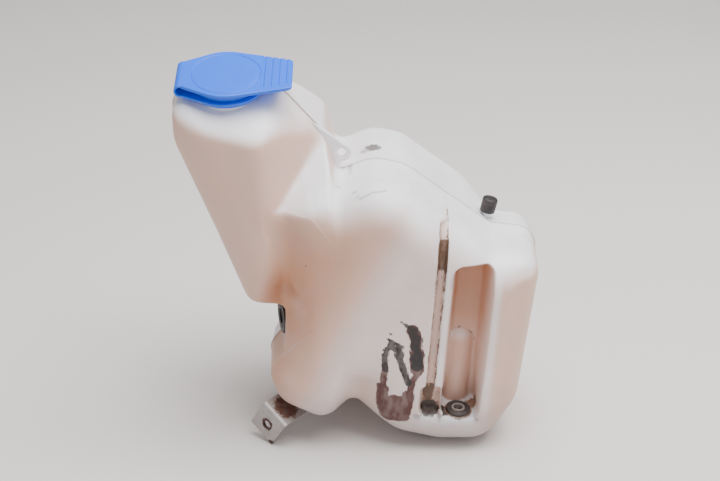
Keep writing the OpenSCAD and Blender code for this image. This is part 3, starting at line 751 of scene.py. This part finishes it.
# Filler cap: one moulding in blue polypropylene. Its collar is pressed on the neck, its thin lid with plug,
# skirt and ribbed thumb tab closes it, and a round strap at the left is the living hinge between them.
lid_low, lid_top, rim_low, rim_top, collar_low = 16.6, 19.0, 9.0, 11.0, 6.5
lid_r, rim_r, collar_r, tab_reach, tab_half = 28.5, 27.5, 25.5, 47.0, 18.5
strap_half, strap_t, strap_r, hinge_x, hinge_h = 16.0, 1.4, 4.8, -36.0, 14.0
strap_root, strap_corner_r, cap_gap = -30.4, 0.6, 0.05
ring_r, ring_d = 24.5, 0.55
tab_grooves, tab_groove_d = 42.2 - 5.2 * np.arange(4), 0.8


def hull_reach(discs):
    """The edge of the convex outline round discs [x, y, r], seen from the middle: the least (c . n + r) / cos
    over all normals n."""
    turn = np.radians(np.arange(0, 360, 0.25))
    support = np.max([x * np.cos(turn) + y * np.sin(turn) + r for x, y, r in discs], axis=0)

    def reach(angles):
        lean_off = np.cos(angles[:, None] - turn)
        return np.where(lean_off > 0.05, support / np.maximum(lean_off, 0.05), np.inf).min(1)
    return reach


def in_neck(points):
    """Points of the neck's own frame, which is tilted towards the viewer, in the part's frame."""
    c, s = np.cos(neck_tilt), np.sin(neck_tilt)
    return neck_at + points @ np.array([[1, 0, 0], [0, c, s], [0, -s, c]])


cap_plastic, tree, shader = fresh_material("blue_polypropylene")
tone = skinned(tree, shader, 1400, 60, 0.06, 0.0004)
deep_blue, bright_blue = linear(6, 98, 236), linear(16, 114, 246)
colour = over(tree, deep_blue, bright_blue, ranged(tree, tone, 0.3, 0.7, 0, 0.3))
tree.links.new(colour, shader.inputs["Base Color"])
shader.inputs["Roughness"].default_value = 0.4

strap_side = strap_half - strap_corner_r
strap_discs = [[strap_root, strap_side, strap_corner_r], [strap_root, -strap_side, strap_corner_r]]
rim_edge = hull_reach([[0, 0, rim_r], *strap_discs])
collar_profile = rounded_outline(np.array([
    [neck_r + cap_gap, collar_low, 0.1], [collar_r, collar_low, 0.3], [collar_r, rim_low, 0.3],
    [rim_r, rim_low, 0.7], [rim_r, rim_top, 0.7], [neck_r + cap_gap, rim_top, 0.3]]), 4)
collar_turn = np.linspace(0, 2 * np.pi, 480, endpoint=False)
collar_mesh = mesh_of("cap_collar", spun(
    collar_profile, neck_at, neck_axis, (1, 0, 0), collar_turn,
    lambda r, t: np.where(r > collar_r + 0.5, r - rim_r + rim_edge(t), r)))
evened(piece("cap_collar_ring", collar_mesh, cap_plastic, "reservoir", "cap_plastic", "cap_collar"))

lid_edge = hull_reach([
    [0, 0, lid_r], [tab_reach - 4, tab_half - 4, 4], [tab_reach - 4, 4 - tab_half, 4], *strap_discs])
even = np.linspace(0, 2 * np.pi, 3000, endpoint=False)
lid_path = np.stack([np.cos(even), np.sin(even)], -1) * lid_edge(even)[:, None]
lid_loop = walked(lid_path, 520, lambda x, y: 1 + 1.5 * (x > 20))
lid_turn = np.arctan2(lid_loop[:, 1], lid_loop[:, 0])
lid_out = np.hypot(lid_loop[:, 0], lid_loop[:, 1])
quarter = np.linspace(0, np.pi / 2, 5)
low_r, high_r = 0.5, 0.9
lid_rows = [(share * lid_out, lid_low) for share in (0.08, 0.5, 0.92)]
lid_rows += [(lid_out - low_r * (1 - np.sin(a)), lid_low + low_r * (1 - np.cos(a))) for a in quarter]
lid_rows += [(lid_out - high_r * (1 - np.cos(a)), lid_top - high_r * (1 - np.sin(a))) for a in quarter]
flat_edge = ring_r + 1.2
lid_rows += [((lid_out - high_r) * (1 - q) + flat_edge * q, lid_top) for q in np.linspace(0.02, 1, 60)]
for r, h in (
    (0.55, 0), (0.42, -0.05), (0.3, -ring_d), (-0.3, -ring_d), (-0.42, -0.05), (-0.55, 0),
    (-4, 0), (-10, 0), (-16, 0), (-21, 0),
):
    lid_rows.append((ring_r + r + 0 * lid_out, lid_top + h))
lid_points = np.stack([
    np.stack([r * np.cos(lid_turn), r * np.sin(lid_turn), h + 0 * lid_turn], -1) for r, h in lid_rows])
x, y, h = lid_points[..., 0], lid_points[..., 1], lid_points[..., 2]
groove_end = -0.62 * tab_half - 0.28 * (tab_reach - x)
widened = 0.75 + 0.6 * np.clip(1 - (y - groove_end) / 1.8, 0, 1)
for groove_x in tab_grooves:
    cut = ease((widened + 0.2 - np.abs(x - groove_x)) / 0.4) * ease((y - groove_end) / 0.5)
    lid_points[..., 2] -= np.where(h > lid_top - high_r, tab_groove_d * cut, 0)
lid_mesh = mesh_of("cap_lid", in_neck(lid_points), in_neck(np.array([[0, 0, lid_low], [0, 0, lid_top]])))
evened(piece("cap_lid_plate", lid_mesh, cap_plastic, "lid", "cap_plastic", "cap_lid"))
for name, corners in (
    ("cap_plug", [[16, 5.6, 0.5], [18, 5.6, 0.7], [19.3, 17.2, 0.1], [16, 17.2, 0.1]]),
    ("cap_skirt", [[22.6, 11.3, 0.4], [24.5, 11.3, 0.5], [24.5, 17.2, 0.1], [22.6, 17.2, 0.1]]),
):
    ring_profile = rounded_outline(np.array(corners), 4)
    ring_mesh = mesh_of(name, spun(ring_profile, neck_at, neck_axis, (1, 0, 0), round_turn))
    evened(piece(name, ring_mesh, cap_plastic, "lid", "cap_plastic", "cap_lid"))

bow = np.linspace(-np.pi / 2, -3 * np.pi / 2, 40)
bow_r = strap_r - strap_t / 2
bow_path = np.stack([hinge_x + strap_r + bow_r * np.cos(bow), hinge_h + bow_r * np.sin(bow)], -1)
bow_out = np.stack([np.cos(bow), np.sin(bow)], -1)
strap_path = np.vstack([bow_path[:1] + [2, 0], bow_path, bow_path[-1:] + [2, 0]])
strap_out = np.vstack([bow_out[:1], bow_out, bow_out[-1:]])
strap_section = rounded_outline(np.array([
    [-strap_t / 2, -strap_half, 0.4], [strap_t / 2, -strap_half, 0.4],
    [strap_t / 2, strap_half, 0.4], [-strap_t / 2, strap_half, 0.4]]), 4)
strap_flat = strap_path[:, None] + strap_section[None, :, :1] * strap_out[:, None]
strap_across = -strap_section[None, :, 1] + 0 * strap_flat[..., 0]
strap_points = np.stack([strap_flat[..., 0], strap_across, strap_flat[..., 1]], -1)
strap_ends = np.stack([strap_path[[0, -1], 0], np.zeros(2), strap_path[[0, -1], 1]], -1)
strap_mesh = mesh_of("cap_hinge_strap", in_neck(strap_points), in_neck(strap_ends))
strap = bpy.data.objects.new("cap_hinge_strap", strap_mesh)
bpy.context.scene.collection.objects.link(strap)
strap.data.materials.append(cap_plastic)
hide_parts("cap_collar", "cap_lid")
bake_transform(strap)

# Rubber rings and vent cap: black moulded rubber. The rings are pushed into holes in the tank, where a lip
# behind the wall holds them, and take the level sensor and the pump. The cap is pushed over the vent spigot.
rubber, tree, shader = fresh_material("black_rubber")
tone = skinned(tree, shader, 1800, 160, 0.1, 0.0004)
dust_and_bead_sheen = put(tree, "ShaderNodeAttribute", attribute_name="dust_and_bead_sheen").outputs["Fac"]
black, dusted, pale_dust_and_sheen = linear(30, 27, 28), linear(92, 80, 74), linear(150, 140, 134)
colour = over(tree, black, dusted, ranged(tree, tone, 0.4, 0.75, 0, 0.45))
# Pale over the black: dust, and a painted sheen on the pump ring's bead.
tree.links.new(over(tree, colour, pale_dust_and_sheen, dust_and_bead_sheen), shader.inputs["Base Color"])
shader.inputs["Roughness"].default_value = 0.55

ring_lip, ring_lip_h = 1.5, 4.0


def ring_seal(r, neck, bore, flange):
    """Half section of a ring seal: flange with a raised inner bead, neck in the wall, lip behind it."""
    bead = bore + 0.32 * (r - bore)
    return rounded_outline(np.array([
        [bore, -wall - ring_lip_h, 0.3], [neck, -wall - ring_lip_h, 0.3],
        [neck + ring_lip, -wall - ring_lip, 0.3], [neck + ring_lip, -wall, 0.2],
        [neck, -wall, 0.1], [neck, 0, 0.1], [r, 0, 0.3], [r, flange, 0.9],
        [bead + 0.9, flange - 0.3, 0.5], [bead + 0.5, flange - 0.9, 0.3],
        [bead, flange - 0.9, 0.3], [bead - 0.4, flange, 0.5], [bore, flange, 0.6]]), 4)


sensor_profile = ring_seal(13.5, 9.5, 6.0, 4.0)
sensor_mesh = mesh_of("sensor_grommet", spun(sensor_profile, sensor_at, sensor_axis, (0, 0, 1), round_turn))
evened(piece("sensor_ring", sensor_mesh, rubber, "reservoir", "rubber", "sensor_grommet"))
pump_profile = ring_seal(9.0, 7.0, 3.5, 3.0)
pump_mesh = mesh_of("pump_grommet", spun(pump_profile, pump_at, pump_axis, (0, 1, 0), round_turn))
# A little pale dust all over the pump ring, and a painted sheen in the same pale on its raised bead.
pump_bead = (pump_profile[:, 1] > 2.2) & (pump_profile[:, 0] < 5.6)
give(pump_mesh, "dust_and_bead_sheen", np.repeat(0.75 * pump_bead + 0.1, len(round_turn)))
evened(piece("pump_ring", pump_mesh, rubber, "reservoir", "rubber", "pump_grommet"))
vent_lift, vent_r, vent_bore_r, vent_bore_h, vent_h = 5.5, 5.75, 3.55, 6, 11
cap_section = rounded_outline(np.array([
    [-0.5, vent_bore_h, 0.1], [vent_bore_r, vent_bore_h, 0.3], [vent_bore_r, 0, 0.3], [vent_r, 0, 0.5],
    [vent_r, 5.0, 0.15], [vent_r - 0.25, 5.3, 0.15], [vent_r, 5.6, 0.15], [vent_r, vent_h, 1.4],
    [-0.5, vent_h, 0.1]]), 5)
cap_section = cap_section[cap_section[:, 0] > 0.05]
vent_mesh = mesh_of(
    "vent_cap", spun(cap_section, vent_at + vent_lift * vent_axis, vent_axis, (0, 1, 0), round_turn),
    np.stack([vent_at + (vent_lift + vent_bore_h) * vent_axis, vent_at + (vent_lift + vent_h) * vent_axis]))
evened(piece("vent_plug", vent_mesh, rubber, "reservoir", "rubber", "vent_cap"))

# Bracket and screw: a strip of steel plate, dull zinc plated, bent once and screwed under the left foot.
# Rust has started round its hole and at its lowest corner. The leg's root behind the bend, under the tank,
# carries painted shadow with some dirt.
flap_hole = bracket_at - 13.5 * bracket_z
flap_corner = bracket_at - 25 * bracket_z + 12 * bracket_y
leg_root = bracket_at - 14 * bracket_x
plated_steel, tree, shader = fresh_material("plated_steel")
tone = skinned(tree, shader, 900, 220, 0.12, 0.0005)
dull_zinc, dark_zinc = linear(176, 170, 168), linear(140, 132, 128)
colour = over(tree, dull_zinc, dark_zinc, ranged(tree, tone, 0.3, 0.7, 0, 0.45))
rust_and_root_shadow = 0.0
for centre, inner, outer, ragged, shade in (
    # The leg's root under the tank: painted shadow with some dirt, brown and dull.
    (leg_root, 0.004, 0.016, 0.9, linear(92, 58, 44)),
    (flap_hole + 0.8 * bracket_z, 0.0034, 0.0072, 1.0, linear(70, 40, 30)),
    (flap_corner, 0.001, 0.0075, 0.9, linear(64, 40, 32)),
):
    cover = spotted(tree, centre, inner, outer, ragged)
    colour = over(tree, colour, shade, cover)
    rust_and_root_shadow = put(tree, "ShaderNodeMath", {0: rust_and_root_shadow, 1: cover}, operation="MAXIMUM").outputs["Value"]
tree.links.new(colour, shader.inputs["Base Color"])
tree.links.new(ranged(tree, rust_and_root_shadow, 0, 1, 0.55, 0), shader.inputs["Metallic"])
tree.links.new(ranged(tree, rust_and_root_shadow, 0, 1, 0.5, 0.85), shader.inputs["Roughness"])
for node in ("bracket", "bracket_screw"):
    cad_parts[node].data.materials.clear()
    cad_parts[node].data.materials.append(plated_steel)

bpy.context.view_layer.update()
